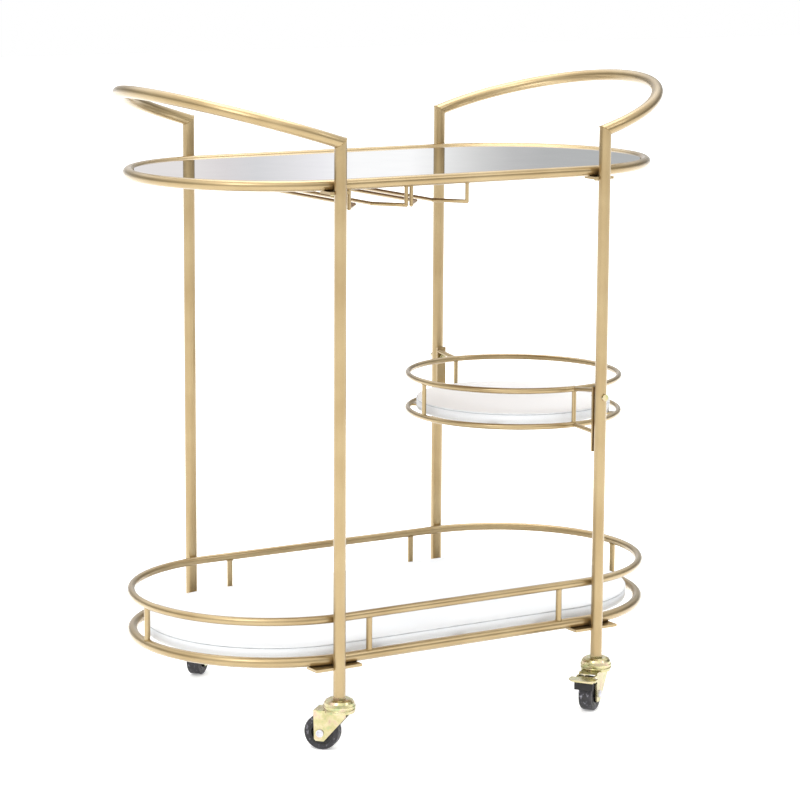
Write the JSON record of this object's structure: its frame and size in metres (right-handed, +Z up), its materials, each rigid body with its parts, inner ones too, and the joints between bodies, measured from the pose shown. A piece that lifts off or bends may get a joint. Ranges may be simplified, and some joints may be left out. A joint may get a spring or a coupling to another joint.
{
  "type": "bar cart",
  "caption": "Oval bar cart in gold tube on swivel casters, with bowed push handles, a mirror top over a stemware rack, a round side tray and a railed lower shelf.",
  "frame": {"origin": "on the floor, under the middle of the cart, halfway between the four posts", "axes": "+X along the cart towards the end with the round tray, +Y from the front towards the rear, +Z up"},
  "size_m": [0.7796, 0.5022, 0.8429],
  "materials": {
    "gold_frame": "satin gold powder coat",
    "mirror": "silvered, polished",
    "backing_board": "raw hardboard",
    "white_board": "white melamine faced board",
    "zinc_fittings": "yellow zinc plated",
    "axle_steel": "bright zinc",
    "socket_plastic": "moulded",
    "wheel_plastic": "moulded",
    "tyre_rubber": "smooth",
    "pad_rubber": "matte"
  },
  "bodies": {
    "frame": {"front_left_post": "gold_frame", "rear_left_post": "gold_frame", "front_right_post": "gold_frame", "rear_right_post": "gold_frame", "left_handle": "gold_frame", "right_handle": "gold_frame", "top_ring": "gold_frame", "top_bars": "gold_frame", "mirror_backing": "backing_board", "mirror": "mirror", "top_tabs": "gold_frame", "top_tab_screws": "zinc_fittings", "rack_wire_1": "gold_frame", "rack_wire_2": "gold_frame", "rack_wire_3": "gold_frame", "rack_wire_4": "gold_frame", "lower_ring": "gold_frame", "guard_rail": "gold_frame", "guard_balusters": "gold_frame", "lower_bars": "gold_frame", "lower_board": "white_board", "lower_plates": "gold_frame", "lower_plate_screws": "zinc_fittings", "tray_lower_ring": "gold_frame", "tray_upper_ring": "gold_frame", "tray_balusters": "gold_frame", "tray_bars": "gold_frame", "tray_board": "white_board", "tray_front_hanger": "gold_frame", "tray_rear_hanger": "gold_frame", "hanger_bolts": "zinc_fittings", "hanger_nuts": "zinc_fittings", "hanger_screws": "zinc_fittings", "caster_sockets": "socket_plastic", "caster_stems": "zinc_fittings"},
    "front_left_caster": {"front_left_fork": "zinc_fittings", "front_left_axle": "axle_steel"},
    "front_left_wheel": {"front_left_hub": "wheel_plastic", "front_left_tyre": "tyre_rubber"},
    "rear_left_caster": {"rear_left_fork": "zinc_fittings", "rear_left_axle": "axle_steel", "rear_left_pedal_pin": "axle_steel"},
    "rear_left_wheel": {"rear_left_hub": "wheel_plastic", "rear_left_tyre": "tyre_rubber"},
    "rear_left_brake": {"rear_left_pedal": "zinc_fittings", "rear_left_brake_pad": "pad_rubber"},
    "front_right_caster": {"front_right_fork": "zinc_fittings", "front_right_axle": "axle_steel", "front_right_pedal_pin": "axle_steel"},
    "front_right_wheel": {"front_right_hub": "wheel_plastic", "front_right_tyre": "tyre_rubber"},
    "front_right_brake": {"front_right_pedal": "zinc_fittings", "front_right_brake_pad": "pad_rubber"},
    "rear_right_caster": {"rear_right_fork": "zinc_fittings", "rear_right_axle": "axle_steel"},
    "rear_right_wheel": {"rear_right_hub": "wheel_plastic", "rear_right_tyre": "tyre_rubber"}
  },
  "joints": [
    {"name": "front_left_swivel", "type": "hinge", "parent": "frame", "child": "front_left_caster", "pos_m": [-0.202, -0.202, 0.053], "axis": [0, 0, 1], "continuous": true},
    {"name": "front_left_roll", "type": "hinge", "parent": "front_left_caster", "child": "front_left_wheel", "pos_m": [-0.21672, -0.18565, 0.023], "axis": [-0.7431, -0.6691, 0], "continuous": true},
    {"name": "rear_left_swivel", "type": "hinge", "parent": "frame", "child": "rear_left_caster", "pos_m": [-0.202, 0.202, 0.053], "axis": [0, 0, 1], "continuous": true},
    {"name": "rear_left_roll", "type": "hinge", "parent": "rear_left_caster", "child": "rear_left_wheel", "pos_m": [-0.1854, 0.21643, 0.023], "axis": [-0.6561, 0.7547, 0], "continuous": true},
    {"name": "rear_left_brake_press", "type": "hinge", "parent": "rear_left_caster", "child": "rear_left_brake", "pos_m": [-0.17294, 0.22726, 0.046], "axis": [-0.6561, 0.7547, 0], "range_deg": [0, 8]},
    {"name": "front_right_swivel", "type": "hinge", "parent": "frame", "child": "front_right_caster", "pos_m": [0.202, -0.202, 0.053], "axis": [0, 0, 1], "continuous": true},
    {"name": "front_right_roll", "type": "hinge", "parent": "front_right_caster", "child": "front_right_wheel", "pos_m": [0.18398, -0.21462, 0.023], "axis": [0.5736, -0.8192, 0], "continuous": true},
    {"name": "front_right_brake_press", "type": "hinge", "parent": "front_right_caster", "child": "front_right_brake", "pos_m": [0.17046, -0.22408, 0.046], "axis": [0.5736, -0.8192, 0], "range_deg": [0, 8]},
    {"name": "rear_right_swivel", "type": "hinge", "parent": "frame", "child": "rear_right_caster", "pos_m": [0.202, 0.202, 0.053], "axis": [0, 0, 1], "continuous": true},
    {"name": "rear_right_roll", "type": "hinge", "parent": "rear_right_caster", "child": "rear_right_wheel", "pos_m": [0.19376, 0.2224, 0.023], "axis": [-0.9272, -0.3746, 0], "continuous": true}
  ]
}
